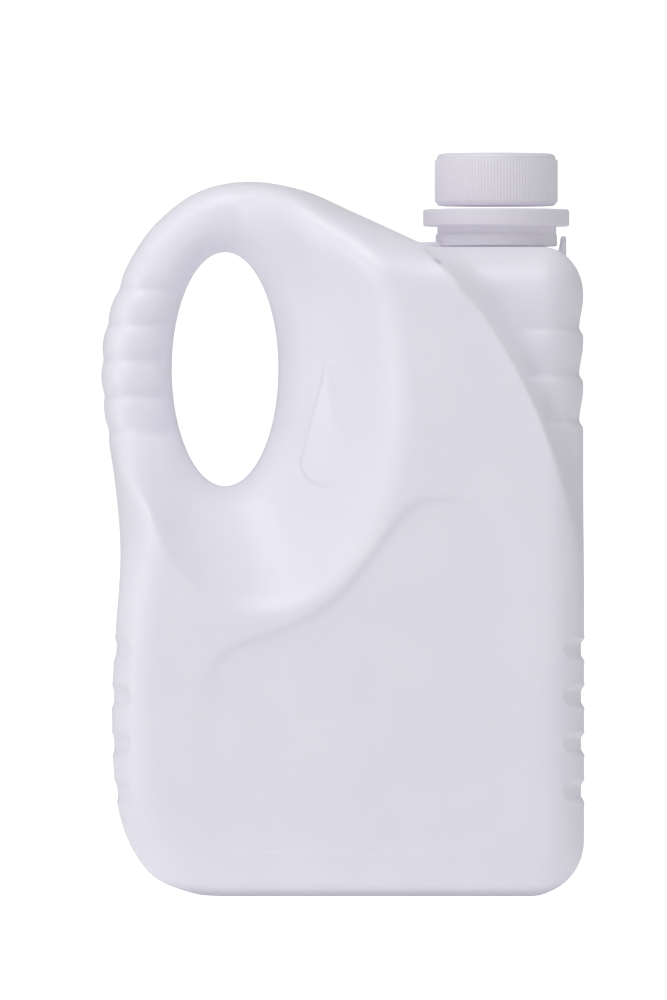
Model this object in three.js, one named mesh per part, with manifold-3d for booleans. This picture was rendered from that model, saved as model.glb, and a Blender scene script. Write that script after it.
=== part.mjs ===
import * as THREE from 'three';
import { mergeVertices } from 'three/addons/utils/BufferGeometryUtils.js';
import Module from 'manifold-3d';

const wasm = await Module();
wasm.setup();

// Driving dimensions of the can, in millimetres. X runs along the broad face, Y through it, Z up.
const CAN_WIDTH = 193.6;
const CAN_DEPTH = 134;
const COLUMN_DEPTH = 112;
const SHOULDER_Z = 259.6;
const ARCH_TOP_Z = 286;
const RIGHT_X = CAN_WIDTH / 2;
const CORNER_R = 22;

// The oval finger hole and the dished ground that slopes up from it.
const HOLE = { x: -47, z: 210.6, halfWidth: 21.4, halfHeight: 47 };
const DISH = { x: -32, z: 200, halfWidth: 53, halfHeight: 84 };
const GRIP_REACH = 60;
const DISH_FLOOR = { grip: 0.22, body: 0.4 };
const DISH_CURVE = 1.3;
const RIM_SOFTNESS = 0.12;
const HOLE_EDGE = { radius: 10, share: 0.8 };

// How far the rounding of the outer edge reaches in, and what share of the depth it takes.
const BODY_EDGE = { radius: 16, share: 0.26 };
const HANDLE_EDGE = { radius: 26, share: 0.9 };
const COLUMN_EDGE = { radius: 18, share: 0.45 };

// The sweeping edge of the broad face, a quarter ellipse, and the width of its soft step.
const SWEEP = { x: -40, z: 80, halfWidth: 140.5, halfHeight: 209.6 };
const SWEEP_STEP = { outside: 8, inside: 0.8, curve: 1.7 };
const SWEEP_FADE = { low: 105, high: 150 };

// Rows of the body's grid: how many lie inside and outside the sweep's crest, how close they come
// in millimetres at each feature, and how far inside the outline the crest's row stays.
const ROW = { inner: 13, outer: 8, samples: 80, wide: 16, hole: 1.6, edge: 0.8, rim: 3, sweep: 2.6, band: 10 };

// Finger grooves round the grip.
const GROOVE = { first: 185.6, pitch: 14.4, count: 5, depth: 1.3, halfWidth: 3.6, endX: -62 };

// Grooves across the two narrow sides.
const RIB = { radius: 3, depth: 0.9, halfLength: 30 };
const COLUMN_RIBS = { first: 191, pitch: 18.5, count: 3 };
const RIGHT_RIBS = { first: 42, pitch: 18.8, count: 4 };
const LEFT_RIBS = { first: 46, pitch: 18.4, count: 3, x: -91.4 };

// The sunk panel for a label on both broad faces.
const PANEL = { left: -57, right: 72, bottom: 22, radius: 14, depth: 1.2 };

// The neck, the tamper ring round it and the screw cap on it share one upright axis.
const NECK_X = 62;
const NECK_R = 20;
const NECK_TOP_Z = 292.6;
const LEDGE = { left: 30.6, right: 37.2, high: 261.6, halfWidth: 14 };
const LUG = { left: 88, right: 90.2, high: 264, halfWidth: 7 };
const COLLAR = { radius: 24.4, low: 259.9, high: 264.8 };
const WINDOWS = { radius: 23.2, high: 268, posts: 9, firstTurn: 0.05, postWidth: 4.6, postDepth: 1.8 };
const FLANGE = { radius: 29.4, high: 274.8 };
const CAP = { radius: 24.8, low: 276.2, high: 297.2, round: 2.4, chamfer: 1.6 };
const CAP_RIBS = { count: 48, depth: 0.35 };
const FIT = 0.3;

const MILKY = { color: 0xe9e9ef, roughness: 0.42, metalness: 0 };
const CAP_WHITE = { color: 0xe4e4ea, roughness: 0.5, metalness: 0 };

const mix = (a, b, t) => a + (b - a) * t;
const clampTo = (t, low, high) => Math.min(Math.max(t, low), high);
const clamp01 = (t) => clampTo(t, 0, 1);
const smooth = (low, high, v) => {
  const t = clamp01((v - low) / (high - low));
  return t * t * (3 - 2 * t);
};

// The outline of the broad face: a flat base, round base corner, straight right side, round
// shoulder, flat neck seat, then one free curve over the arch and down the grip.
function outlinePath() {
  const shoulder = { x: 80, z: 240 };
  const path = new THREE.Path();
  path.moveTo(-48, 0);
  path.lineTo(RIGHT_X - CORNER_R, 0);
  path.absarc(RIGHT_X - CORNER_R, CORNER_R, CORNER_R, -Math.PI / 2, 0, false);
  path.lineTo(RIGHT_X, shoulder.z);
  const shoulderWidth = RIGHT_X - shoulder.x;
  path.absellipse(shoulder.x, shoulder.z, shoulderWidth, SHOULDER_Z - shoulder.z, 0, Math.PI / 2, false, 0);
  path.lineTo(36, SHOULDER_Z);
  path.lineTo(30, LEDGE.high);
  const free = [
    [4, 274], [-16, 282.6], [-38, ARCH_TOP_Z], [-58, 281.8], [-74, 270], [-84, 256.6], [-91.4, 240],
    [-95.6, 225], [-96.8, 210], [-95.8, 195], [-93.6, 180], [-91.2, 164], [-88.8, 136], [-90.6, 105],
    [-92, 78], [-91.2, 48], [-87.2, 26], [-77, 9], [-62, 1.6], [-48, 0],
  ];
  path.splineThru(free.map(([x, z]) => new THREE.Vector2(x, z)));
  return path;
}

const outline = outlinePath();
const FINE = 1200;
const finePoints = outline.getSpacedPoints(FINE).slice(0, FINE);

// Distance from a point of the broad face to the outline.
function edgeDistance(x, z) {
  let best = Infinity;
  for (let i = 0; i < FINE; i += 1) {
    const a = finePoints[i];
    const b = finePoints[(i + 1) % FINE];
    const dx = b.x - a.x;
    const dz = b.y - a.y;
    const t = clamp01(((x - a.x) * dx + (z - a.y) * dz) / (dx * dx + dz * dz));
    best = Math.min(best, Math.hypot(x - a.x - dx * t, z - a.y - dz * t));
  }
  return best;
}

// Distance to an ellipse, negative inside it.
function ellipseDistance(x, z, e) {
  const ux = (x - e.x) / e.halfWidth;
  const uz = (z - e.z) / e.halfHeight;
  const k = Math.hypot(ux, uz);
  return (k * (k - 1)) / Math.hypot(ux / e.halfWidth, uz / e.halfHeight);
}

// Share of the depth left at a distance from an edge that is rounded off.
function edgeShare(distance, edge) {
  const inward = 1 - clamp01(distance / edge.radius);
  return 1 - edge.share + edge.share * Math.sqrt(1 - inward * inward);
}

// Zero on the body and one on the handle.
function handleShare(x, z) {
  return smooth(115, 185, z) * (1 - smooth(-15, 45, x));
}

// One over the grip, where the ground rises evenly from the hole, and zero in the dish beside it.
function gripShare(x, z) {
  return smooth(150, 192, z) * (1 - smooth(-44, -10, x));
}

// How far a place lies up the dish: 0 at the hole's edge and 1 on its rim, which is an ellipse.
function dishClimb(x, z) {
  const fromHole = Math.max(ellipseDistance(x, z, HOLE), 0);
  const toRim = fromHole / (fromHole - ellipseDistance(x, z, DISH));
  return mix(toRim, fromHole / GRIP_REACH, gripShare(x, z));
}

// Share of the full depth that the dished ground has at a place.
function dishShare(x, z) {
  const ground = mix(DISH_FLOOR.body, DISH_FLOOR.grip, gripShare(x, z));
  const rise = mix(ground, 1, dishClimb(x, z) ** DISH_CURVE);
  const near = clamp01(1 - Math.abs(rise - 1) / RIM_SOFTNESS);
  const rounded = Math.min(rise, 1) - (near * near * RIM_SOFTNESS) / 4;
  return rounded * edgeShare(Math.max(ellipseDistance(x, z, HOLE), 0), HOLE_EDGE);
}

// One inside the sweeping edge of the broad face, zero on the neck column outside it.
function faceShare(x, z) {
  const inside = -ellipseDistance(x, Math.max(z, SWEEP.z), SWEEP);
  const climb = (inside + SWEEP_STEP.outside) / (SWEEP_STEP.inside + SWEEP_STEP.outside);
  const step = clamp01(climb) ** SWEEP_STEP.curve;
  return 1 - (1 - step) * smooth(SWEEP_FADE.low, SWEEP_FADE.high, z);
}

// Depth of the finger grooves at a place on the grip.
function grooveDepth(x, z) {
  let depth = 0;
  for (let i = 0; i < GROOVE.count; i += 1) {
    const away = (z - GROOVE.first - i * GROOVE.pitch) / GROOVE.halfWidth;
    depth += GROOVE.depth * Math.exp(-away * away);
  }
  return depth * (1 - smooth(GROOVE.endX - 8, GROOVE.endX, x));
}

// Half of the can's depth at a place on the broad face.
function halfDepth(x, z) {
  const fromEdge = edgeDistance(x, z);
  const handle = handleShare(x, z);
  const edge = {
    radius: mix(BODY_EDGE.radius, HANDLE_EDGE.radius, handle),
    share: mix(BODY_EDGE.share, HANDLE_EDGE.share, handle),
  };
  const face = (CAN_DEPTH / 2) * edgeShare(fromEdge, edge) * dishShare(x, z);
  const column = (COLUMN_DEPTH / 2) * edgeShare(fromEdge, COLUMN_EDGE);
  const depth = mix(Math.min(column, face), face, faceShare(x, z));
  return depth - grooveDepth(x, z) * 0.8;
}

// Outline points for the rays: close together along the grip, wider elsewhere.
function rayEnds() {
  const gripLow = GROOVE.first - GROOVE.pitch / 2;
  const gripHigh = GROOVE.first + (GROOVE.count - 0.5) * GROOVE.pitch;
  const ends = [];
  let travelled = 0;
  const step = outline.getLength() / FINE;
  for (const p of finePoints) {
    const onGrip = p.x < GROOVE.endX && p.y > gripLow && p.y < gripHigh;
    const straight = p.y < 1 || p.x > RIGHT_X - 0.5;
    const spacing = onGrip ? 3.6 : straight ? 13 : 6.6;
    if (ends.length === 0 || travelled >= spacing) {
      ends.push(p);
      travelled = 0;
    }
    travelled += step;
  }
  return ends;
}

// Wanted distance between the grid's rows, small at the edges, the rim of the dish and the sweep.
function rowSpacing(x, z) {
  const fromHole = Math.max(ellipseDistance(x, z, HOLE), 0);
  const fromEdge = edgeDistance(x, z);
  const fromRim = Math.abs(ellipseDistance(x, z, DISH));
  const fromSweep = Math.abs(ellipseDistance(x, Math.max(z, SWEEP.z), SWEEP));
  const sweepRow = z > SWEEP_FADE.low ? ROW.sweep + 0.4 * fromSweep : ROW.wide;
  return Math.min(ROW.wide, ROW.hole + 0.35 * fromHole, ROW.edge + 0.35 * fromEdge, ROW.rim + 0.5 * fromRim, sweepRow);
}

// The last place along a ray, 0 to 1, where a measure is still below its target.
function placeWhere(ray, measure, target) {
  let low = 0;
  let high = 1;
  for (let i = 0; i < 14; i += 1) {
    const t = (low + high) / 2;
    if (measure(mix(ray.x0, ray.x1, t), mix(ray.z0, ray.z1, t)) < target) low = t;
    else high = t;
  }
  return low;
}

// Places from one share of a ray up to another, crowded where the wanted distance is small.
function crowded(ray, from, to, count) {
  const at = (i) => mix(from, to, i / ROW.samples);
  const travelled = [0];
  for (let i = 1; i <= ROW.samples; i += 1) {
    const t = at(i - 0.5);
    travelled.push(travelled[i - 1] + 1 / rowSpacing(mix(ray.x0, ray.x1, t), mix(ray.z0, ray.z1, t)));
  }
  const stops = [];
  let i = 0;
  for (let row = 0; row < count; row += 1) {
    const target = (travelled[ROW.samples] * row) / count;
    while (travelled[i + 1] < target) i += 1;
    stops.push(at(i + (target - travelled[i]) / (travelled[i + 1] - travelled[i])));
  }
  return stops;
}

// Places along a ray from the hole, 0, to the outline, 1, with one on the crest of the sweep, or a
// little inside the outline where the sweep has run out.
function rayStops(ray) {
  const sweep = (x, z) => ellipseDistance(x, Math.max(z, SWEEP.z), SWEEP);
  const toEdge = (x, z) => -edgeDistance(x, z);
  const onSweep = placeWhere(ray, sweep, -SWEEP_STEP.inside);
  const crest = Math.min(onSweep, placeWhere(ray, toEdge, -ROW.band));
  return [...crowded(ray, 0, crest, ROW.inner), ...crowded(ray, crest, 1, ROW.outer), 1];
}

// Evens out the stops between neighbouring rays, so that the rows run in smooth lines.
function evened(rows, passes) {
  let current = rows;
  for (let pass = 0; pass < passes; pass += 1) {
    const last = current;
    current = last.map((row, i) => {
      const before = last[(i + last.length - 1) % last.length];
      const after = last[(i + 1) % last.length];
      return row.map((t, j) => (before[j] + 2 * t + after[j]) / 4);
    });
  }
  return current;
}

// Grid of places on the broad face, one row for each ray from the hole's edge to the outline.
function faceGrid() {
  const rays = rayEnds().map((end) => {
    const turn = Math.atan2((end.y - HOLE.z) / HOLE.halfHeight, (end.x - HOLE.x) / HOLE.halfWidth);
    const x0 = HOLE.x + HOLE.halfWidth * Math.cos(turn);
    const z0 = HOLE.z + HOLE.halfHeight * Math.sin(turn);
    return { x0, z0, x1: end.x, z1: end.y };
  });
  const stops = evened(rays.map(rayStops), 3);
  return rays.map((ray, i) => {
    const length = Math.hypot(ray.x1 - ray.x0, ray.z1 - ray.z0);
    return stops[i].map((t) => {
      const x = mix(ray.x0, ray.x1, t);
      const z = mix(ray.z0, ray.z1, t);
      const pressed = t - (grooveDepth(x, z) * t) / length;
      return [mix(ray.x0, ray.x1, pressed), halfDepth(x, z), mix(ray.z0, ray.z1, pressed)];
    });
  });
}

// Closed skin of the body: front and back grids, with walls along the outline and the hole.
function bodyShell() {
  const grid = faceGrid();
  const rays = grid.length;
  const stops = grid[0].length;
  const points = [];
  for (const side of [-1, 1]) {
    for (const row of grid) {
      for (const [x, y, z] of row) points.push(x, side * y, z);
    }
  }
  const at = (side, ray, stop) => (side * rays + (ray % rays)) * stops + stop;
  const triangles = [];
  const quad = (a, b, c, d) => triangles.push(a, b, c, a, c, d);
  for (let i = 0; i < rays; i += 1) {
    for (let j = 0; j < stops - 1; j += 1) {
      quad(at(0, i, j), at(0, i, j + 1), at(0, i + 1, j + 1), at(0, i + 1, j));
      quad(at(1, i, j), at(1, i + 1, j), at(1, i + 1, j + 1), at(1, i, j + 1));
    }
    const last = stops - 1;
    quad(at(0, i, last), at(1, i, last), at(1, i + 1, last), at(0, i + 1, last));
    quad(at(0, i, 0), at(0, i + 1, 0), at(1, i + 1, 0), at(1, i, 0));
  }
  return new wasm.Manifold(new wasm.Mesh({
    numProp: 3,
    vertProperties: new Float32Array(points),
    triVerts: new Uint32Array(triangles),
  }));
}

// A three.js geometry as a solid that can be joined and cut.
function solid(geometry) {
  const bare = geometry.index ? geometry.toNonIndexed() : geometry.clone();
  bare.deleteAttribute('normal');
  bare.deleteAttribute('uv');
  const merged = mergeVertices(bare, 1e-4);
  return new wasm.Manifold(new wasm.Mesh({
    numProp: 3,
    vertProperties: new Float32Array(merged.attributes.position.array),
    triVerts: new Uint32Array(merged.index.array),
  }));
}

// A solid as a three.js geometry.
function geometryOf(body) {
  const mesh = body.getMesh();
  const geometry = new THREE.BufferGeometry();
  geometry.setAttribute('position', new THREE.BufferAttribute(new Float32Array(mesh.vertProperties), 3));
  geometry.setIndex(new THREE.BufferAttribute(new Uint32Array(mesh.triVerts), 1));
  geometry.computeVertexNormals();
  return geometry;
}

// A solid of revolution round the neck axis, from a closed profile of radius and height.
function turned(profile, segments) {
  const points = profile.map(([r, z]) => new THREE.Vector2(r, z));
  const lathe = new THREE.LatheGeometry(points, segments);
  lathe.rotateX(Math.PI / 2);
  lathe.translate(NECK_X, 0, 0);
  return solid(lathe);
}

// A round bar along Y that cuts one groove into a narrow side.
function ribCutter(x, z) {
  const bar = new THREE.CylinderGeometry(RIB.radius, RIB.radius, RIB.halfLength * 2, 12);
  bar.translate(x, 0, z);
  return solid(bar);
}

// All grooves across the narrow sides.
function sideRibs() {
  const rows = [
    { ...COLUMN_RIBS, x: RIGHT_X + RIB.radius - RIB.depth },
    { ...RIGHT_RIBS, x: RIGHT_X + RIB.radius - RIB.depth },
    { ...LEFT_RIBS, x: LEFT_RIBS.x - RIB.radius + RIB.depth },
  ];
  const bars = [];
  for (const row of rows) {
    for (let i = 0; i < row.count; i += 1) bars.push(ribCutter(row.x, row.first + i * row.pitch));
  }
  return bars;
}

// Outline of the label panel: square below, with a rising wave along its top.
function panelShape() {
  const r = PANEL.radius;
  const shape = new THREE.Shape();
  shape.moveTo(PANEL.left + r, PANEL.bottom);
  shape.lineTo(PANEL.right - r, PANEL.bottom);
  shape.absarc(PANEL.right - r, PANEL.bottom + r, r, -Math.PI / 2, 0, false);
  shape.lineTo(PANEL.right, 136);
  shape.splineThru([
    new THREE.Vector2(64, 150), new THREE.Vector2(53, 157.5), new THREE.Vector2(40, 160),
    new THREE.Vector2(26, 155.5), new THREE.Vector2(11, 136), new THREE.Vector2(-2, 121),
    new THREE.Vector2(-18, 110), new THREE.Vector2(-42, 101), new THREE.Vector2(-52, 93),
    new THREE.Vector2(PANEL.left, 78),
  ]);
  shape.lineTo(PANEL.left, PANEL.bottom + r);
  shape.absarc(PANEL.left + r, PANEL.bottom + r, r, Math.PI, 1.5 * Math.PI, false);
  return shape;
}

// The two cutters that sink the label panel into both broad faces.
function panelCutters() {
  const thick = 6;
  const slab = new THREE.ExtrudeGeometry(panelShape(), { depth: thick, bevelEnabled: false, curveSegments: 6 });
  slab.rotateX(Math.PI / 2);
  const front = slab.clone().translate(0, PANEL.depth - CAN_DEPTH / 2, 0);
  const back = slab.clone().translate(0, CAN_DEPTH / 2 - PANEL.depth + thick, 0);
  return [solid(front), solid(back)];
}

// The plain neck under the cap.
function neck() {
  const foot = SHOULDER_Z - 2;
  return turned([[0, foot], [NECK_R, foot], [NECK_R, NECK_TOP_Z], [0, NECK_TOP_Z]], 48);
}

// An upright block of the body between two places along the broad face, from low to high.
function block(size, low) {
  const box = new THREE.BoxGeometry(size.right - size.left, size.halfWidth * 2, size.high - low);
  box.translate((size.left + size.right) / 2, 0, (size.high + low) / 2);
  return solid(box);
}

// The body with the neck, the ledge on the handle's side of it and the ratchet lug on the other.
function bodySolid() {
  let body = bodyShell();
  for (const cutter of [...sideRibs(), ...panelCutters()]) body = body.subtract(cutter);
  for (const added of [neck(), block(LEDGE, SHOULDER_Z - 2), block(LUG, SHOULDER_Z - 9)]) body = body.add(added);
  return body;
}

// The tamper ring: a collar, a wide flange, and short posts with windows between them.
function tamperRing() {
  const bore = NECK_R + FIT;
  let ring = turned([
    [bore, COLLAR.low], [COLLAR.radius, COLLAR.low], [COLLAR.radius, COLLAR.high],
    [WINDOWS.radius, COLLAR.high], [WINDOWS.radius, WINDOWS.high], [FLANGE.radius, WINDOWS.high],
    [FLANGE.radius, FLANGE.high], [bore, FLANGE.high], [bore, COLLAR.low],
  ], 48);
  for (let i = 0; i < WINDOWS.posts; i += 1) {
    const turn = WINDOWS.firstTurn + (i / WINDOWS.posts) * 2 * Math.PI;
    const height = WINDOWS.high - COLLAR.high + 0.4;
    const post = new THREE.BoxGeometry(WINDOWS.postDepth, WINDOWS.postWidth, height);
    post.translate(WINDOWS.radius, 0, (WINDOWS.high + COLLAR.high) / 2);
    post.rotateZ(turn);
    post.translate(NECK_X, 0, 0);
    ring = ring.add(solid(post));
  }
  return ring;
}

// The screw cap: a round-edged cup over the neck with fine upright ribs round its side.
function capSolid() {
  const c = CAP;
  const arc = [0, 0.33, 0.67, 1].map((t) => {
    const turn = (t * Math.PI) / 2;
    return [c.radius - c.round * (1 - Math.cos(turn)), c.high - c.round * (1 - Math.sin(turn))];
  });
  const bore = NECK_R + FIT;
  const bottom = c.radius - c.chamfer;
  const profile = [
    [bore, c.low], [bottom, c.low], [c.radius, c.low + c.chamfer], ...arc,
    [0, c.high], [0, NECK_TOP_Z + FIT], [bore, NECK_TOP_Z + FIT], [bore, c.low],
  ];
  const cup = turned(profile, CAP_RIBS.count * 2);
  const shape = new THREE.Shape();
  for (let i = 0; i < CAP_RIBS.count * 2; i += 1) {
    const turn = (i / (CAP_RIBS.count * 2)) * 2 * Math.PI;
    const r = i % 2 ? c.radius - CAP_RIBS.depth : c.radius + 0.05;
    const place = [r * Math.cos(turn), r * Math.sin(turn)];
    if (i === 0) shape.moveTo(...place);
    else shape.lineTo(...place);
  }
  const ribbed = new THREE.ExtrudeGeometry(shape, { depth: c.high - c.low + 2, bevelEnabled: false });
  ribbed.translate(NECK_X, 0, c.low - 1);
  return cup.intersect(solid(ribbed));
}

function named(name, body, look) {
  const mesh = new THREE.Mesh(geometryOf(body), new THREE.MeshStandardMaterial(look));
  mesh.name = name;
  return mesh;
}

const can = new THREE.Group();
can.add(named('can_body', bodySolid(), MILKY));
can.add(named('tamper_ring', tamperRing(), CAP_WHITE));
can.add(named('screw_cap', capSolid(), CAP_WHITE));

export default can;
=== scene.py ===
import math

import bmesh
import bpy
import numpy as np
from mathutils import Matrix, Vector


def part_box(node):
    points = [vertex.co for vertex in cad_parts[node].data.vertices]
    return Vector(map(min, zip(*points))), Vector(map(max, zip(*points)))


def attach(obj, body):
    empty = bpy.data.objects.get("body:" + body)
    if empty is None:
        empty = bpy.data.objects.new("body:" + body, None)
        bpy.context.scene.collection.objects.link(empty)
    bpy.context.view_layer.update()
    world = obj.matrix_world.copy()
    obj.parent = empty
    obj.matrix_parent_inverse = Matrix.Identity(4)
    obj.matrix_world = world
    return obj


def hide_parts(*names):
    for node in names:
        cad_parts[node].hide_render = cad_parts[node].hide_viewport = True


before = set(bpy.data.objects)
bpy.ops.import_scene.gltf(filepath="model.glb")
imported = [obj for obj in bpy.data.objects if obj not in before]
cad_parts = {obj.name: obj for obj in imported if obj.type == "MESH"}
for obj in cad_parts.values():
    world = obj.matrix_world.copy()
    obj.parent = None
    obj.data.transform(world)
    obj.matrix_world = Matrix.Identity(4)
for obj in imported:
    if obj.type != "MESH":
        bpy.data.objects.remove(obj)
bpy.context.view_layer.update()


# The can's body is one blow-moulded shell of milky high-density polyethylene, parted along the
# plane of its handle. Its broad faces slope down to a pinched oval finger hole, a sweeping edge
# runs from the handle's arch over the face, and the neck stands on a narrower column beside it.
MM = 0.001

body_low, body_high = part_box("can_body")
cap_low, cap_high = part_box("screw_cap")
CAN_DEPTH = (body_high.y - body_low.y) / MM
RIGHT_X = body_high.x / MM
NECK_X = (cap_low.x + cap_high.x) / 2 / MM
COLUMN_DEPTH = 112.0
SHOULDER_Z = 259.6
SEAT_LEFT = (36.0, 259.6)
LEDGE_CORNER = (30.0, 261.6)
ARCH_TOP_Z = 286.0
CORNER_R = 22.0
SHOULDER_CORNER = (80.0, 240.0)
BASE_LEFT = (-48.0, 0.0)
OUTLINE_PLACES = 1200
FREE_CURVE = [
    (4, 274), (-16, 282.6), (-38, ARCH_TOP_Z), (-58, 281.8), (-74, 270), (-84, 256.6), (-91.4, 240),
    (-95.6, 225), (-96.8, 210), (-95.8, 195), (-93.6, 180), (-91.2, 164), (-88.8, 136), (-90.6, 105),
    (-92, 78), (-91.2, 48), (-87.2, 26), (-77, 9), (-62, 1.6), BASE_LEFT,
]

HOLE = {"x": -47.0, "z": 210.6, "half_width": 21.4, "half_height": 47.0}
DISH = {"x": -32.0, "z": 200.0, "half_width": 53.0, "half_height": 84.0}
GRIP_REACH = 60.0
GRIP_ABOVE = (150.0, 192.0)
GRIP_LEFT_OF = (-44.0, -10.0)
DISH_FLOOR = {"grip": 0.22, "body": 0.4}
DISH_CURVE = 1.3
RIM_SOFTNESS = 0.12
HOLE_EDGE = (10.0, 0.8)
BODY_EDGE = (16.0, 0.26)
HANDLE_EDGE = (26.0, 0.9)
HANDLE_ABOVE = (115.0, 185.0)
HANDLE_LEFT_OF = (-15.0, 45.0)
COLUMN_EDGE = (18.0, 0.45)
SWEEP = {"x": -40.0, "z": 80.0, "half_width": 140.5, "half_height": 209.6}
SWEEP_OUTSIDE = 8.0
SWEEP_INSIDE = 0.8
SWEEP_CURVE = 1.7
SWEEP_FADE = (105.0, 150.0)


def mix(a, b, t):
    return a + (b - a) * t


def ease(low, high, value):
    t = np.clip((value - low) / (high - low), 0, 1)
    return t * t * (3 - 2 * t)


def arc(centre, radii, start, end, count):
    turn = np.radians(np.linspace(start, end, count))
    return np.stack([centre[0] + radii[0] * np.cos(turn), centre[1] + radii[1] * np.sin(turn)], 1)


def spline(points, count):
    """A smooth curve through points, with count places on each stretch."""
    p = np.array([points[0], *points, points[-1]], float)
    t = np.linspace(0, 1, count, endpoint=False)[:, None]
    stretches = []
    for a, b, c, d in zip(p, p[1:], p[2:], p[3:]):
        u = (c - a) / 2
        v = (d - b) / 2
        stretches.append((2 * b - 2 * c + u + v) * t**3 + (3 * c - 3 * b - 2 * u - v) * t**2 + u * t + b)
    return np.concatenate([*stretches, p[-1:]])


def even(points, count, closed=True):
    """The same curve with its places evenly spaced along it."""
    if closed:
        points = np.concatenate([points, points[:1]])
    length = np.concatenate([[0], np.cumsum(np.linalg.norm(np.diff(points, axis=0), axis=1))])
    wanted = np.linspace(0, length[-1], count, endpoint=not closed)
    return np.stack([np.interp(wanted, length, points[:, k]) for k in (0, 1)], 1)


def can_outline(count):
    corner = (RIGHT_X - CORNER_R, CORNER_R)
    shoulder_radii = (RIGHT_X - SHOULDER_CORNER[0], SHOULDER_Z - SHOULDER_CORNER[1])
    free = [LEDGE_CORNER, *FREE_CURVE]
    rough = np.concatenate([
        [BASE_LEFT],
        arc(corner, (CORNER_R, CORNER_R), -90, 0, 60),
        arc(SHOULDER_CORNER, shoulder_radii, 0, 90, 60),
        [SEAT_LEFT],
        spline(free, 40)[:-1],
    ])
    return even(rough, count)


OUTLINE = can_outline(OUTLINE_PLACES)


def distance_to(curve, x, z):
    """Distance from each place to a closed curve."""
    places = np.stack([x.ravel(), z.ravel()], 1)
    start = curve
    step = np.roll(curve, -1, axis=0) - start
    square = (step**2).sum(1)
    nearest = []
    for part in np.array_split(places, max(1, len(places) // 3000)):
        away = part[:, None] - start
        t = np.clip((away * step).sum(2) / square, 0, 1)
        nearest.append(np.sqrt(((away - t[..., None] * step) ** 2).sum(2)).min(1))
    return np.concatenate(nearest).reshape(x.shape)


def ellipse_distance(x, z, e):
    """Distance to an ellipse, negative inside it."""
    ux = (x - e["x"]) / e["half_width"]
    uz = (z - e["z"]) / e["half_height"]
    k = np.hypot(ux, uz)
    return k * (k - 1) / np.hypot(ux / e["half_width"], uz / e["half_height"])


def edge_share(distance, radius, share):
    """Share of the depth left at a distance from an edge that is rounded off."""
    inward = 1 - np.clip(distance / radius, 0, 1)
    return 1 - share + share * np.sqrt(1 - inward**2)


def grip_share(x, z):
    """One over the grip, where the ground rises evenly from the hole, zero in the dish beside it."""
    return ease(*GRIP_ABOVE, z) * (1 - ease(*GRIP_LEFT_OF, x))


def dish_climb(x, z):
    """How far a place lies up the dish, 0 at the hole's edge and 1 on its rim."""
    from_hole = np.maximum(ellipse_distance(x, z, HOLE), 0)
    to_rim = from_hole / (from_hole - ellipse_distance(x, z, DISH))
    return mix(to_rim, from_hole / GRIP_REACH, grip_share(x, z))


def dish_share(x, z):
    """Share of the full depth that the dished ground has."""
    ground = mix(DISH_FLOOR["body"], DISH_FLOOR["grip"], grip_share(x, z))
    rise = mix(ground, 1, dish_climb(x, z) ** DISH_CURVE)
    near = np.clip(1 - np.abs(rise - 1) / RIM_SOFTNESS, 0, 1)
    rounded_rise = np.minimum(rise, 1) - near**2 * RIM_SOFTNESS / 4
    return rounded_rise * edge_share(np.maximum(ellipse_distance(x, z, HOLE), 0), *HOLE_EDGE)


def face_share(x, z):
    """One inside the sweeping edge of the broad face, zero on the neck column outside it."""
    inside = -ellipse_distance(x, np.maximum(z, SWEEP["z"]), SWEEP)
    step = np.clip((inside + SWEEP_OUTSIDE) / (SWEEP_INSIDE + SWEEP_OUTSIDE), 0, 1) ** SWEEP_CURVE
    return 1 - (1 - step) * ease(*SWEEP_FADE, z)


def half_depth(x, z):
    """Half of the can's depth at each place on the broad face."""
    from_edge = distance_to(OUTLINE, x, z)
    handle = ease(*HANDLE_ABOVE, z) * (1 - ease(*HANDLE_LEFT_OF, x))
    radius = mix(BODY_EDGE[0], HANDLE_EDGE[0], handle)
    share = mix(BODY_EDGE[1], HANDLE_EDGE[1], handle)
    face = CAN_DEPTH / 2 * edge_share(from_edge, radius, share) * dish_share(x, z)
    column = COLUMN_DEPTH / 2 * edge_share(from_edge, *COLUMN_EDGE)
    return mix(np.minimum(column, face), face, face_share(x, z))


# Rays run from the hole's edge to the outline. Each ray is a loop over the front face, the narrow
# side, the back face and the inside of the hole, so that the whole skin is one closed grid. Rays
# and their places lie closest where the form changes fastest.
RAYS = 488
FACE_ROWS = 88
SIDE_ROWS = 15
HOLE_ROWS = 9
FINE_STRETCHES = {
    "grip": (-60.0, -200.0, 176.0, 254.0, 2.6),
    "left_slots": (-60.0, -200.0, 36.0, 94.0, 1.7),
    "right_slots": (60.0, 200.0, 34.0, 106.0, 2.6),
    "scallops": (60.0, 200.0, 182.0, 240.0, 2.3),
}
STRETCH_FADE = 12.0
RAY_SAMPLES = 241
RAY_SMOOTHING = 18
SIDE_CROWDING = 1.6
WIDEST_ROW = 4.0
ROW_SPACING = {
    "hole": (0.45, 0.14), "edge": (0.20, 0.16), "sweep": (0.9, 0.2), "panel": (0.8, 0.3),
    "rim": (1.0, 0.2), "drop": (0.9, 0.2), "base_line": (0.5, 0.4),
}


def ray_ends():
    """Places on the outline, closer together on the grip and along the ribbed narrow sides."""
    x, z = OUTLINE.T
    weight = np.ones(len(OUTLINE))
    for inner, outer, low, high, more in FINE_STRETCHES.values():
        on_side = (x - inner) * (outer - inner) > 0
        within = ease(low - STRETCH_FADE, low, z) - ease(high, high + STRETCH_FADE, z)
        weight = np.where(on_side, np.maximum(weight, mix(1, more, within)), weight)
    travelled = np.concatenate([[0], np.cumsum(weight)])
    wanted = np.linspace(0, travelled[-1], RAYS, endpoint=False)
    index = np.interp(wanted, travelled, np.arange(len(OUTLINE) + 1))
    ring = np.concatenate([OUTLINE, OUTLINE[:1]])
    places = np.arange(len(ring))
    return np.stack([np.interp(index, places, ring[:, k]) for k in (0, 1)], 1)


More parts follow.
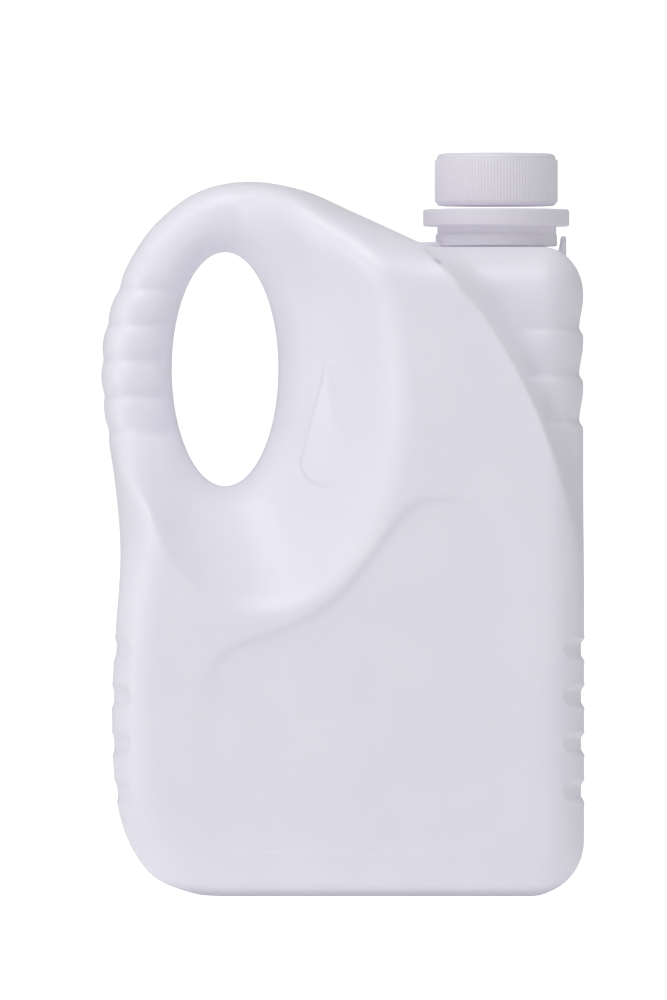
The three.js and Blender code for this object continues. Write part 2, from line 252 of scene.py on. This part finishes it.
def row_spacing(x, z):
    """Wanted distance between rows in millimetres, small at edges and crests."""
    from_hole = np.maximum(ellipse_distance(x, z, HOLE), 0)
    from_edge = distance_to(OUTLINE, x, z)
    from_sweep = np.abs(ellipse_distance(x, np.maximum(z, SWEEP["z"]), SWEEP))
    from_sweep = np.where(z > SWEEP_FADE[0], from_sweep, 50)
    from_panel = distance_to(PANEL_LINE, x, z)
    from_rim = np.abs(ellipse_distance(x, z, DISH))
    from_drop = np.hypot(x - DROP_FOOT[0], (z - DROP_FOOT[1] - 12) / 2)
    away = {
        "hole": from_hole, "edge": from_edge, "sweep": from_sweep, "panel": from_panel,
        "rim": from_rim, "drop": np.maximum(from_drop - 8, 0), "base_line": np.abs(z - BASE_LINE_Z),
    }
    spacing = [near + more * away[name] for name, (near, more) in ROW_SPACING.items()]
    return np.minimum.reduce([np.full_like(x, WIDEST_ROW), *spacing])


def ray_stops(ray):
    """Places of the rows along each ray, 0 at the hole's edge and 1 at the outline."""
    t = np.linspace(0, 1, RAY_SAMPLES)[:, None]
    crowd = 1 / row_spacing(mix(ray["x0"], ray["x1"], t), mix(ray["z0"], ray["z1"], t))
    total = np.concatenate([np.zeros((1, RAYS)), np.cumsum((crowd[1:] + crowd[:-1]) / 2, axis=0)])
    share = np.linspace(0, 1, FACE_ROWS)
    stops = np.stack([np.interp(share, total[:, i] / total[-1, i], t[:, 0]) for i in range(RAYS)], 1)
    for _ in range(RAY_SMOOTHING):
        stops = (np.roll(stops, 1, axis=1) + 2 * stops + np.roll(stops, -1, axis=1)) / 4
    return stops


def skin_grid():
    """Places on the skin as an array of loop place, ray and x, y, z."""
    x1, z1 = ray_ends().T
    turn = np.arctan2((z1 - HOLE["z"]) / HOLE["half_height"], (x1 - HOLE["x"]) / HOLE["half_width"])
    x0 = HOLE["x"] + HOLE["half_width"] * np.cos(turn)
    z0 = HOLE["z"] + HOLE["half_height"] * np.sin(turn)
    stops = ray_stops({"x0": x0, "z0": z0, "x1": x1, "z1": z1})
    x = mix(x0, x1, stops)
    z = mix(z0, z1, stops)
    y = half_depth(x, z)
    front = np.stack([x, -y, z], 2)
    back = np.stack([x, y, z], 2)[::-1]
    across = np.linspace(-1, 1, SIDE_ROWS + 2)[1:-1]
    side = np.stack([front[-1] * [1, -(abs(t) ** SIDE_CROWDING) * np.sign(t), 1] for t in across])
    inside = np.stack([front[0] * [1, t, 1] for t in np.linspace(-1, 1, HOLE_ROWS + 2)[1:-1]])
    return np.concatenate([front, side, back, inside])


def grid_normals(grid):
    along = np.roll(grid, -1, axis=1) - np.roll(grid, 1, axis=1)
    around = np.roll(grid, -1, axis=0) - np.roll(grid, 1, axis=0)
    normal = np.cross(around, along)
    return normal / np.maximum(np.linalg.norm(normal, axis=2, keepdims=True), 1e-9)


# Relief pressed into the skin by the mould. Each function gives how far the skin goes in, in
# millimetres, at each place: grooves for the fingers, scallops and slots on the narrow sides, the
# sunk label panel under its wave, the drop beside the hole, the base line and the parting line.
GRIP_GROOVES = {"first": 185.6, "pitch": 14.4, "count": 5, "depth": 1.3, "half_width": 3.0}
GRIP_GROOVES_END_X = (-72.0, -58.0)
GRIP_GROOVES_FROM_HOLE = (0.0, 5.0)
GRIP_BACK_SHARE = 0.6
GRIP_BACK_Y = (4.0, 18.0)
SCALLOPS = {"first": 186.6, "pitch": 18.5, "count": 3, "depth": 1.6}
SCALLOPS_START_X = (68.0, 80.0)
SIDE_SLOTS = {"first": 42.0, "pitch": 18.8, "count": 4, "depth": 1.2, "half_width": 4.0, "rim": 0.25}
SLOT_END_X = {"right": 88.5, "left": 84.0}
LEFT_SLOT_SHARE = 0.6
FACE_BEYOND_Y = (20.0, 34.0)


def bands(z, rows):
    """Soft grooves at even heights."""
    total = np.zeros_like(z)
    for i in range(rows["count"]):
        away = (z - rows["first"] - i * rows["pitch"]) / rows["half_width"]
        total += rows["depth"] * np.exp(-(away**2))
    return total


def scallops(z, rows):
    """Hollows that start at a sharp ledge and run out slowly above it."""
    step = (z - rows["first"]) / rows["pitch"]
    within = (step > 0) & (step < rows["count"])
    u = step % 1
    return np.where(within, rows["depth"] * ease(0, 0.17, u) * (1 - ease(0.15, 0.85, u)), 0)


def slots(x, z, rows, end_x):
    """Flat-bottomed slots with round ends that run in from a narrow side."""
    total = np.zeros_like(z)
    for i in range(rows["count"]):
        middle = rows["first"] + i * rows["pitch"]
        past_end = np.maximum(end_x + rows["half_width"] - x, 0)
        away = np.hypot(past_end, z - middle)
        total += rows["depth"] * (1 - ease(rows["half_width"] - 1.8, rows["half_width"] + 0.4, away))
        total -= rows["rim"] * np.exp(-(((away - rows["half_width"] - 0.8) / 0.8) ** 2))
    return total


def inside_curve(curve, x, z):
    """Signed distance to a closed curve, positive inside it."""
    distance = distance_to(curve, x, z)
    a = curve
    b = np.roll(curve, -1, axis=0)
    px = x.ravel()[:, None]
    pz = z.ravel()[:, None]
    spans = (a[:, 1] > pz) != (b[:, 1] > pz)
    rise = np.where(b[:, 1] == a[:, 1], 1e-9, b[:, 1] - a[:, 1])
    hits = spans & (px < a[:, 0] + (pz - a[:, 1]) / rise * (b[:, 0] - a[:, 0]))
    inside = (hits.sum(1) % 2 == 1).reshape(x.shape)
    return np.where(inside, distance, -distance)


PANEL = {"left": -57.0, "right": 72.0, "bottom": 22.0, "radius": 14.0}
PANEL_DEPTH = {"wave": 1.5, "sides": 0.8}
PANEL_WALL = {"wave": 2.2, "sides": 9.0}
PANEL_LINE_PLACES = 320
PANEL_WAVE = [
    (72, 136), (64, 150), (53, 157.5), (40, 160), (26, 155.5), (11, 136), (-2, 121), (-18, 110),
    (-42, 101), (-52, 93), (-57, 78),
]


def panel_line():
    r = PANEL["radius"]
    low = PANEL["bottom"] + r
    rough = np.concatenate([
        arc((PANEL["left"] + r, low), (r, r), 180, 270, 24),
        arc((PANEL["right"] - r, low), (r, r), 270, 360, 24),
        spline(PANEL_WAVE, 12),
    ])
    return even(rough, PANEL_LINE_PLACES)


PANEL_LINE = panel_line()


def label_panel(x, z):
    """The sunk label panel, with a steep wall along its wave and soft walls elsewhere."""
    inside = inside_curve(PANEL_LINE, x, z)
    on_wave = ease(76, 104, z) * (1 - ease(52, 72, x))
    width = mix(PANEL_WALL["sides"], PANEL_WALL["wave"], on_wave)
    depth = mix(PANEL_DEPTH["sides"], PANEL_DEPTH["wave"], on_wave)
    return depth * ease(-0.5, 1, inside / width)


DROP_TIP = (-5.2, 214.0)
DROP_FOOT = (-8.4, 172.4)
DROP_RADIUS = 7.4
DROP_HEIGHT = 2.0


def drop(x, z):
    """The raised drop beside the hole, crisp on its left and dying away on its right."""
    axis = np.subtract(DROP_TIP, DROP_FOOT)
    length = np.hypot(*axis)
    axis = axis / length
    along = (x - DROP_FOOT[0]) * axis[0] + (z - DROP_FOOT[1]) * axis[1]
    across = (x - DROP_FOOT[0]) * axis[1] - (z - DROP_FOOT[1]) * axis[0]
    t = np.clip(along / length, 0, 1)
    inside = DROP_RADIUS * (1 - t) + 0.4 - np.hypot(across, along - t * length)
    fade = mix(1, 0.25, ease(-3, 7, across)) * mix(0.5, 1, ease(-DROP_RADIUS, 4, along))
    return -DROP_HEIGHT * ease(-0.5, 0.9, inside) * fade


BASE_LINE_Z = 17.6
BASE_LINE_HEIGHT = 0.5
BASE_LINE_HALF_WIDTH = 0.7
BASE_LINE_ENDS_X = {"left": (-62.0, -40.0), "right": (66.0, 84.0)}


def base_line(x, z):
    """The thin raised line that runs over the broad face just above the base."""
    along = ease(*BASE_LINE_ENDS_X["left"], x) * (1 - ease(*BASE_LINE_ENDS_X["right"], x))
    away = (z - BASE_LINE_Z) / BASE_LINE_HALF_WIDTH
    return -BASE_LINE_HEIGHT * np.exp(-(away**2)) * along


def grip_grooves(x, y, z):
    """The finger grooves, shallower behind the grip and dying away towards the hole."""
    within = 1 - ease(*GRIP_GROOVES_END_X, x)
    beside_hole = ease(*GRIP_GROOVES_FROM_HOLE, ellipse_distance(x, z, HOLE))
    behind = mix(GRIP_BACK_SHARE, 1, ease(*GRIP_BACK_Y, np.abs(y)))
    return bands(z, GRIP_GROOVES) * within * beside_hole * behind


def column_scallops(x, z):
    outside_face = 1 - ease(0, 0.7, face_share(x, z))
    return scallops(z, SCALLOPS) * ease(*SCALLOPS_START_X, x) * outside_face


def relief(x, y, z):
    right = slots(x, z, SIDE_SLOTS, SLOT_END_X["right"])
    left = slots(-x, z, SIDE_SLOTS, SLOT_END_X["left"]) * LEFT_SLOT_SHARE
    on_face = ease(*FACE_BEYOND_Y, np.abs(y))
    face = label_panel(x, z) + drop(x, z) + base_line(x, z)
    return grip_grooves(x, y, z) + column_scallops(x, z) + right + left + on_face * face


PARTING_HEIGHT = 0.3
PARTING_HALF_WIDTH = 0.5


def body_places():
    """The skin's places with the relief pressed in, and none of it on the flat base."""
    grid = skin_grid()
    normal = grid_normals(grid)
    x, y, z = np.moveaxis(grid, 2, 0)
    beside_parting = PARTING_HEIGHT * (1 - np.exp(-((y / PARTING_HALF_WIDTH) ** 2)))
    pressed = (relief(x, y, z) + beside_parting) * ease(0.2, 1.5, z)
    return grid - normal * pressed[..., None]


def closed_grid_mesh(name, grid):
    """A mesh from a grid that closes on itself both ways, with its faces pointing out."""
    loops, rays, _ = grid.shape
    index = np.arange(loops * rays).reshape(loops, rays)
    ahead = np.roll(index, -1, axis=0)
    quads = np.stack([index, ahead, np.roll(ahead, -1, axis=1), np.roll(index, -1, axis=1)], 2)
    mesh = bpy.data.meshes.new(name)
    mesh.from_pydata((grid.reshape(-1, 3) * MM).tolist(), [], quads.reshape(-1, 4).tolist())
    mesh.shade_smooth()
    mesh.update()
    return mesh


def linear(hex_colour):
    """An sRGB hex colour as linear red, green, blue and alpha."""
    parts = [int(hex_colour[i:i + 2], 16) / 255 for i in (1, 3, 5)]
    return [c / 12.92 if c <= 0.04045 else ((c + 0.055) / 1.055) ** 2.4 for c in parts] + [1.0]


def add_node(tree, kind, settings=None, **links):
    """Adds a node with its settings, and sets or links its inputs by name."""
    node = tree.nodes.new(kind)
    for name, value in (settings or {}).items():
        setattr(node, name, value)
    for name, value in links.items():
        number = name[1:]
        socket = node.inputs[int(number) if number.isdigit() else name.replace("_", " ")]
        if isinstance(value, bpy.types.NodeSocket):
            tree.links.new(value, socket)
        else:
            socket.default_value = value
    return node


def new_material(name):
    material = bpy.data.materials.new(name)
    material.use_nodes = True
    material.node_tree.nodes.clear()
    return material, material.node_tree


# Milky high-density polyethylene, blow moulded against a blasted steel mould: light goes a few
# millimetres into it and comes out soft, so its shadows are pale and faintly violet, and its
# satin skin has a fine grain and a slow waviness where the wall's thickness changes. A faint glow
# is painted over the whole skin to lift its shadows; it stands for the light that comes through
# the hollow can from behind.
MILKY = {"thick": "#EEECF5", "thin": "#E8E6F1", "roughness": 0.40, "ior": 1.54}
LIGHT_DEPTH_MM = 6.0
LIGHT_SHARE = 0.6
MILKY_PAINTED_GLOW = 0.05
SKIN_GRAIN_MM = 0.5
WALL_WAVE_MM = 28.0


def milky_polyethylene():
    material, tree = new_material("milky_polyethylene_blow_moulded")
    place = add_node(tree, "ShaderNodeTexCoord").outputs["Object"]
    wave_scale = 1 / (WALL_WAVE_MM * MM)
    grain_scale = 1 / (SKIN_GRAIN_MM * MM)
    wave = add_node(tree, "ShaderNodeTexNoise", Vector=place, Scale=wave_scale, Detail=2.0)
    grain = add_node(tree, "ShaderNodeTexNoise", Vector=place, Scale=grain_scale, Detail=2.0)
    colour = add_node(
        tree, "ShaderNodeMix", {"data_type": "RGBA"}, Factor=wave.outputs["Fac"],
        _6=linear(MILKY["thick"]), _7=linear(MILKY["thin"]),
    )
    slow = add_node(
        tree, "ShaderNodeBump", Height=wave.outputs["Fac"], Strength=0.1, Distance=0.4 * MM,
    )
    fine = add_node(
        tree, "ShaderNodeBump", Height=grain.outputs["Fac"], Strength=0.3, Distance=0.04 * MM,
        Normal=slow.outputs["Normal"],
    )
    # Its emission is a painted glow that lifts the skin's shadows everywhere.
    skin = add_node(
        tree, "ShaderNodeBsdfPrincipled", Base_Color=colour.outputs[2], Roughness=MILKY["roughness"],
        IOR=MILKY["ior"], Subsurface_Weight=LIGHT_SHARE, Subsurface_Scale=LIGHT_DEPTH_MM * MM,
        Emission_Color=linear(MILKY["thick"]), Emission_Strength=MILKY_PAINTED_GLOW,
        Normal=fine.outputs["Normal"],
    )
    skin.inputs["Subsurface Radius"].default_value = (1.0, 1.0, 1.1)
    add_node(tree, "ShaderNodeOutputMaterial", Surface=skin.outputs["BSDF"])
    return material


def added_piece(name, mesh, material, node):
    """Puts a finished mesh in the scene as the dressed form of a node of the frame."""
    piece = bpy.data.objects.new(name, mesh)
    bpy.context.scene.collection.objects.link(piece)
    mesh.materials.clear()
    mesh.materials.append(material)
    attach(piece, "root")
    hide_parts(node)


milky = milky_polyethylene()
body_mesh = closed_grid_mesh("milky_body", body_places())
added_piece("milky_body", body_mesh, milky, "can_body")


# The neck rises from the column's shoulder as part of the same shell. A thin ledge on the side of
# the handle and a curved lug on the other, where the ring's ratchet stops, are pinched out of the
# wall by the mould.
NECK_R = 20.0
NECK_FOOT_Z = 257.6
NECK_TOP_Z = 274.0
LEDGE = {
    "inner": 24.8, "outer": 31.2, "low": 257.6, "high": 261.6,
    "middle": 180.0, "half_turn": 26.0, "slope": 0.0,
}
LUG = {
    "inner": 26.0, "outer": 28.2, "low": 250.6, "high": 264.0,
    "middle": 0.0, "half_turn": 16.0, "slope": 5.0,
}
BLOCK_SOFTNESS = 0.5


def lathed_mesh(name, profile, sides):
    """A surface turned round the neck's axis from radius and height pairs, from low to high."""
    turn = np.linspace(0, 2 * math.pi, sides, endpoint=False)
    r, z = np.array(profile, float).T
    x = NECK_X + r[:, None] * np.cos(turn)
    y = r[:, None] * np.sin(turn)
    verts = np.stack([x, y, np.broadcast_to(z[:, None], x.shape)], 2) * MM
    index = np.arange(x.size).reshape(x.shape)
    low = index[:-1]
    high = index[1:]
    quads = np.stack([low, np.roll(low, -1, axis=1), np.roll(high, -1, axis=1), high], 2)
    mesh = bpy.data.meshes.new(name)
    ends = [index[0][::-1].tolist(), index[-1].tolist()]
    mesh.from_pydata(verts.reshape(-1, 3).tolist(), [], quads.reshape(-1, 4).tolist() + ends)
    mesh.shade_smooth()
    mesh.update()
    return mesh


def rounded(r, z, radius, quarter, steps=5):
    """A quarter round of a profile about a corner at r, z; quarter is low_out, high_out."""
    start = {"low_out": -90, "high_out": 0}[quarter]
    lift = {"low_out": radius, "high_out": -radius}[quarter]
    centre = (r - radius, z + lift)
    return [tuple(place) for place in arc(centre, (radius, radius), start, start + 90, steps)]


def neck_mesh():
    profile = [(NECK_R, NECK_FOOT_Z), (NECK_R, NECK_TOP_Z - 0.4), (NECK_R - 0.4, NECK_TOP_Z)]
    return lathed_mesh("neck", profile, 160)


def curved_block(name, form, steps=36):
    """An upright block bent round the neck, with soft top edges and, with a slope, rounded ends."""
    mesh = bmesh.new()
    soft = BLOCK_SOFTNESS
    rows = []
    for t in np.linspace(-1, 1, steps):
        turn = math.radians(form["middle"] + t * form["half_turn"])
        high = form["high"] - form["slope"] * ease(0.3, 1.0, abs(t))
        profile = [
            (form["outer"], form["low"]), (form["outer"], high - soft), (form["outer"] - soft, high),
            (form["inner"] + soft, high), (form["inner"], high - soft), (form["inner"], form["low"]),
        ]
        places = [(NECK_X + r * math.cos(turn), r * math.sin(turn), z) for r, z in profile]
        rows.append([mesh.verts.new(Vector(place) * MM) for place in places])
    for row, ahead in zip(rows, rows[1:]):
        for i in range(len(row)):
            j = (i + 1) % len(row)
            mesh.faces.new((row[i], ahead[i], ahead[j], row[j]))
    mesh.faces.new(rows[0])
    mesh.faces.new(rows[-1][::-1])
    bmesh.ops.recalc_face_normals(mesh, faces=mesh.faces)
    shaped = bpy.data.meshes.new(name)
    mesh.to_mesh(shaped)
    mesh.free()
    shaped.shade_smooth()
    shaped.set_sharp_from_angle(angle=math.radians(50))
    return shaped


added_piece("neck", neck_mesh(), milky, "can_body")
added_piece("neck_ledge", curved_block("neck_ledge", LEDGE), milky, "can_body")
added_piece("ratchet_lug", curved_block("ratchet_lug", LUG), milky, "can_body")


# The ring under the cap tells whether the can was opened. It is injection moulded in the same
# white polyethylene as the cap: a collar, a band of windows between thin upright bridges, and a
# wide flange to pull it off by, with a small notch where it tears.
COLLAR_R = 24.4
COLLAR_LOW_Z = 260.0
COLLAR_TOP_Z = 264.8
WINDOW_R = 23.7
FLANGE_R = 29.4
FLANGE_LOW_Z = 268.0
FLANGE_TOP_Z = 274.8
BRIDGES = {"count": 9, "radius": 23.3, "width": 5.2, "depth": 1.8, "turn": 2.8}
NOTCH = {"turn": 196.0, "half_turn": 1.8, "depth": 2.2}


# White polyethylene, injection moulded in a spark-eroded tool, which gives it a satin face with a
# fine grain. A faint glow is painted on it to lift its shadows, such as the band under the flange;
# it stands for the light that comes through its thin walls.
INJECTED = {"white": "#D4D1DA", "roughness": 0.46, "ior": 1.53}
SPARK_GRAIN_MM = 0.35
WHITE_PAINTED_GLOW = 0.18


def white_polyethylene():
    material, tree = new_material("white_polyethylene_injection_moulded")
    place = add_node(tree, "ShaderNodeTexCoord").outputs["Object"]
    grain_scale = 1 / (SPARK_GRAIN_MM * MM)
    grain = add_node(tree, "ShaderNodeTexNoise", Vector=place, Scale=grain_scale, Detail=2.0)
    fine = add_node(
        tree, "ShaderNodeBump", Height=grain.outputs["Fac"], Strength=0.3, Distance=0.03 * MM,
    )
    # Its emission is a painted glow that lifts the shadows on the cap and ring.
    skin = add_node(
        tree, "ShaderNodeBsdfPrincipled", Base_Color=linear(INJECTED["white"]), IOR=INJECTED["ior"],
        Roughness=INJECTED["roughness"], Normal=fine.outputs["Normal"],
        Emission_Color=linear(INJECTED["white"]), Emission_Strength=WHITE_PAINTED_GLOW,
    )
    add_node(tree, "ShaderNodeOutputMaterial", Surface=skin.outputs["BSDF"])
    return material


def uprights_tree():
    """Geometry Nodes: sets even uprights round the neck's axis and joins them to what comes in."""
    tree = bpy.data.node_groups.new("uprights_round_the_neck", "GeometryNodeTree")
    kinds = {"Geometry": "Geometry", "Count": "Int", "Material": "Material"}
    sizes = ("Radius", "Low", "Height", "Width", "Depth", "Turn", "Axis X")
    for name in ("Geometry", "Count", *sizes, "Material"):
        kind = kinds.get(name, "Float")
        tree.interface.new_socket(name, in_out="INPUT", socket_type=f"NodeSocket{kind}")
    tree.interface.new_socket("Geometry", in_out="OUTPUT", socket_type="NodeSocketGeometry")
    given = add_node(tree, "NodeGroupInput").outputs
    half = add_node(tree, "ShaderNodeMath", {"operation": "MULTIPLY"}, _0=given["Height"], _1=0.5)
    middle = add_node(tree, "ShaderNodeMath", {"operation": "ADD"}, _0=given["Low"], _1=half.outputs[0])
    ring = add_node(tree, "GeometryNodeMeshCircle", Vertices=given["Count"], Radius=given["Radius"])
    index = add_node(tree, "GeometryNodeInputIndex").outputs[0]
    part = add_node(tree, "ShaderNodeMath", {"operation": "DIVIDE"}, _0=index, _1=given["Count"])
    turn = add_node(
        tree, "ShaderNodeMath", {"operation": "MULTIPLY"}, _0=part.outputs[0], _1=2 * math.pi,
    )
    spin = add_node(tree, "ShaderNodeCombineXYZ", Z=turn.outputs[0])
    post = add_node(tree, "GeometryNodeMeshCylinder", Vertices=16, Radius=0.5, Depth=1.0)
    size = add_node(
        tree, "ShaderNodeCombineXYZ", X=given["Depth"], Y=given["Width"], Z=given["Height"],
    )
    posts = add_node(
        tree, "GeometryNodeInstanceOnPoints", Points=ring.outputs["Mesh"], Instance=post.outputs["Mesh"],
        Rotation=spin.outputs[0], Scale=size.outputs[0],
    )
    place = add_node(tree, "ShaderNodeCombineXYZ", X=given["Axis X"], Z=middle.outputs[0])
    start = add_node(tree, "ShaderNodeCombineXYZ", Z=given["Turn"])
    moved = add_node(
        tree, "GeometryNodeTransform", Geometry=posts.outputs[0], Translation=place.outputs[0],
        Rotation=start.outputs[0],
    )
    joined = add_node(tree, "GeometryNodeJoinGeometry")
    tree.links.new(moved.outputs[0], joined.inputs[0])
    tree.links.new(given["Geometry"], joined.inputs[0])
    real = add_node(tree, "GeometryNodeRealizeInstances", Geometry=joined.outputs[0])
    dressed = add_node(
        tree, "GeometryNodeSetMaterial", Geometry=real.outputs[0], Material=given["Material"],
    )
    add_node(tree, "NodeGroupOutput", Geometry=dressed.outputs[0])
    return tree


UPRIGHTS = uprights_tree()


def with_uprights(name, core, material, low, height, rows):
    """The core mesh with a ring of uprights joined to it by the Geometry Nodes tree."""
    source = bpy.data.objects.new(name, core)
    bpy.context.scene.collection.objects.link(source)
    modifier = source.modifiers.new("uprights", "NODES")
    modifier.node_group = UPRIGHTS
    values = {
        "Count": rows["count"], "Radius": rows["radius"] * MM, "Low": low * MM, "Height": height * MM,
        "Width": rows["width"] * MM, "Depth": rows["depth"] * MM, "Turn": math.radians(rows["turn"]),
        "Axis X": NECK_X * MM, "Material": material,
    }
    for item in UPRIGHTS.interface.items_tree:
        if item.name in values and item.in_out == "INPUT":
            modifier[item.identifier] = values[item.name]
    seen = source.evaluated_get(bpy.context.evaluated_depsgraph_get())
    mesh = bpy.data.meshes.new_from_object(seen)
    mesh.name = name
    bpy.data.objects.remove(source)
    return mesh


def notched(mesh):
    """Cuts the small tear notch into the flange's rim."""
    for vertex in mesh.vertices:
        x = vertex.co.x / MM - NECK_X
        y = vertex.co.y / MM
        z = vertex.co.z / MM
        r = math.hypot(x, y)
        away = abs((math.degrees(math.atan2(y, x)) - NOTCH["turn"] + 180) % 360 - 180)
        if z > FLANGE_LOW_Z - 0.1 and r > COLLAR_R and away < NOTCH["half_turn"]:
            inward = 1 - NOTCH["depth"] * (1 - away / NOTCH["half_turn"]) / r
            vertex.co.x = (NECK_X + x * inward) * MM
            vertex.co.y = y * inward * MM
    return mesh


def ring_core():
    profile = [
        (NECK_R + 0.6, COLLAR_LOW_Z), *rounded(COLLAR_R, COLLAR_LOW_Z, 0.4, "low_out"),
        *rounded(COLLAR_R, COLLAR_TOP_Z, 0.5, "high_out"), (WINDOW_R + 0.1, COLLAR_TOP_Z),
        (WINDOW_R, COLLAR_TOP_Z + 0.1), (WINDOW_R, FLANGE_LOW_Z - 0.1), (WINDOW_R + 0.1, FLANGE_LOW_Z),
        *rounded(FLANGE_R, FLANGE_LOW_Z, 0.7, "low_out"), (FLANGE_R, 270.2), (FLANGE_R, 272.6),
        *rounded(FLANGE_R, FLANGE_TOP_Z, 0.9, "high_out"), (24.0, FLANGE_TOP_Z), (20.6, FLANGE_TOP_Z),
    ]
    return notched(lathed_mesh("ring_core", profile, 480))


def creased(mesh, degrees=38):
    """Keeps edges sharp where faces turn more than an angle."""
    mesh.set_sharp_from_angle(angle=math.radians(degrees))
    return mesh


white = white_polyethylene()
bridge_low = COLLAR_TOP_Z - 0.2
bridge_height = FLANGE_LOW_Z - COLLAR_TOP_Z + 0.4
ring_mesh = with_uprights("tamper_ring_white", ring_core(), white, bridge_low, bridge_height, BRIDGES)
added_piece("tamper_ring_white", creased(ring_mesh), white, "tamper_ring")


# The screw cap is injection moulded too: a straight skirt with a soft top edge and a chamfered
# foot, gripped by fine upright ribs that stop just under the top.
CAP_R = (cap_high.x - cap_low.x) / 2 / MM
CAP_LOW_Z = cap_low.z / MM
CAP_TOP_Z = cap_high.z / MM
CAP_ROUND = 2.4
CAP_INSET = 0.9
CAP_CHAMFER = 1.4
CAP_WALL_R = CAP_R - 0.2
CAP_RIBS = {"count": 120, "radius": CAP_R - 0.35, "width": 0.8, "depth": 0.6, "turn": 0.0}


def cap_core():
    wall = CAP_WALL_R
    dome = CAP_R - CAP_INSET
    skirt_top = CAP_TOP_Z - CAP_ROUND
    foot = CAP_LOW_Z + CAP_CHAMFER
    foot_r = wall - CAP_CHAMFER
    profile = [
        (NECK_R, CAP_LOW_Z), (foot_r - 0.3, CAP_LOW_Z), (foot_r, CAP_LOW_Z + 0.1),
        (wall - 0.2, foot), (wall, foot + 0.4), (wall, skirt_top - 0.4), (wall - 0.3, skirt_top),
        (dome, skirt_top + 0.1), *rounded(dome, CAP_TOP_Z, CAP_ROUND - 0.3, "high_out", 10),
        (wall - 5.0, CAP_TOP_Z), (8.0, CAP_TOP_Z - 0.1),
    ]
    return lathed_mesh("cap_core", profile, 240)


rib_low = CAP_LOW_Z + CAP_CHAMFER + 0.4
rib_height = CAP_TOP_Z - CAP_ROUND - 0.3 - rib_low
cap_mesh = with_uprights("screw_cap_white", cap_core(), white, rib_low, rib_height, CAP_RIBS)
added_piece("screw_cap_white", creased(cap_mesh), white, "screw_cap")


# The studio is plain white: a pale floor that the camera sees overexposed, even white air, a soft
# light above the camera and another near the handle's side. The camera stands far off at the
# can's middle height, so that its lines stay upright.
PIXEL_MM = 0.402
PHOTO_SIZE = (667, 1000)
PHOTO_MIDDLE_X = 342.0
PHOTO_BASE_Y = 893.0
CAMERA_FAR = 6.0
FLOOR = {"white": "#F2F2F2", "glow": 0.16, "seen_glow": 0.7, "half": 12.0}
AIR = {"light": 0.4, "seen": 0.76}
LIGHT_AIM = (0, 0, 0.15)


def white_floor():
    material, tree = new_material("white_floor_overexposed")
    seen = add_node(tree, "ShaderNodeLightPath").outputs["Is Camera Ray"]
    glow = add_node(
        tree, "ShaderNodeMath", {"operation": "MULTIPLY_ADD"},
        _0=seen, _1=FLOOR["seen_glow"], _2=FLOOR["glow"],
    )
    paint = add_node(
        tree, "ShaderNodeBsdfPrincipled", Base_Color=linear(FLOOR["white"]), Roughness=0.9,
        Emission_Color=linear("#FFFFFF"), Emission_Strength=glow.outputs[0],
    )
    add_node(tree, "ShaderNodeOutputMaterial", Surface=paint.outputs["BSDF"])
    mesh = bpy.data.meshes.new("white_floor")
    half = FLOOR["half"]
    corners = [(-half, -half, 0), (half, -half, 0), (half, half, 0), (-half, half, 0)]
    mesh.from_pydata(corners, [], [(0, 1, 2, 3)])
    mesh.materials.append(material)
    floor = bpy.data.objects.new("white_floor", mesh)
    bpy.context.scene.collection.objects.link(floor)


def soft_light(name, place, size, power):
    lamp = bpy.data.lights.new(name, "AREA")
    lamp.shape = "RECTANGLE"
    lamp.size, lamp.size_y = size
    lamp.energy = power
    light = bpy.data.objects.new(name, lamp)
    light.location = place
    aim = Vector(LIGHT_AIM) - Vector(place)
    light.rotation_euler = aim.to_track_quat("-Z", "Y").to_euler()
    bpy.context.scene.collection.objects.link(light)


def photo_camera():
    data = bpy.data.cameras.new("photo_camera")
    data.sensor_fit = "VERTICAL"
    data.angle = 2 * math.atan(PHOTO_SIZE[1] * PIXEL_MM * MM / 2 / CAMERA_FAR)
    camera = bpy.data.objects.new("photo_camera", data)
    x = (PHOTO_SIZE[0] / 2 - PHOTO_MIDDLE_X) * PIXEL_MM * MM
    z = (PHOTO_BASE_Y - PHOTO_SIZE[1] / 2) * PIXEL_MM * MM
    camera.location = (x, -CAMERA_FAR, z)
    camera.rotation_euler = (math.pi / 2, 0, 0)
    bpy.context.scene.collection.objects.link(camera)
    bpy.context.scene.camera = camera


def white_air():
    world = bpy.data.worlds.new("white_air")
    world.use_nodes = True
    tree = world.node_tree
    seen = add_node(tree, "ShaderNodeLightPath").outputs["Is Camera Ray"]
    strength = add_node(
        tree, "ShaderNodeMath", {"operation": "MULTIPLY_ADD"}, _0=seen, _1=AIR["seen"], _2=AIR["light"],
    )
    sky = tree.nodes["Background"]
    sky.inputs["Color"].default_value = linear("#FFFFFF")
    tree.links.new(strength.outputs[0], sky.inputs["Strength"])
    bpy.context.scene.world = world


white_floor()
soft_light("above_camera", (-0.35, -0.75, 1.5), (1.2, 1.2), 11.0)
soft_light("handle_side", (-1.1, -0.65, 0.1), (0.7, 0.7), 2.6)
white_air()
photo_camera()
bpy.context.scene.view_settings.view_transform = "Standard"
bpy.context.scene.view_settings.look = "None"
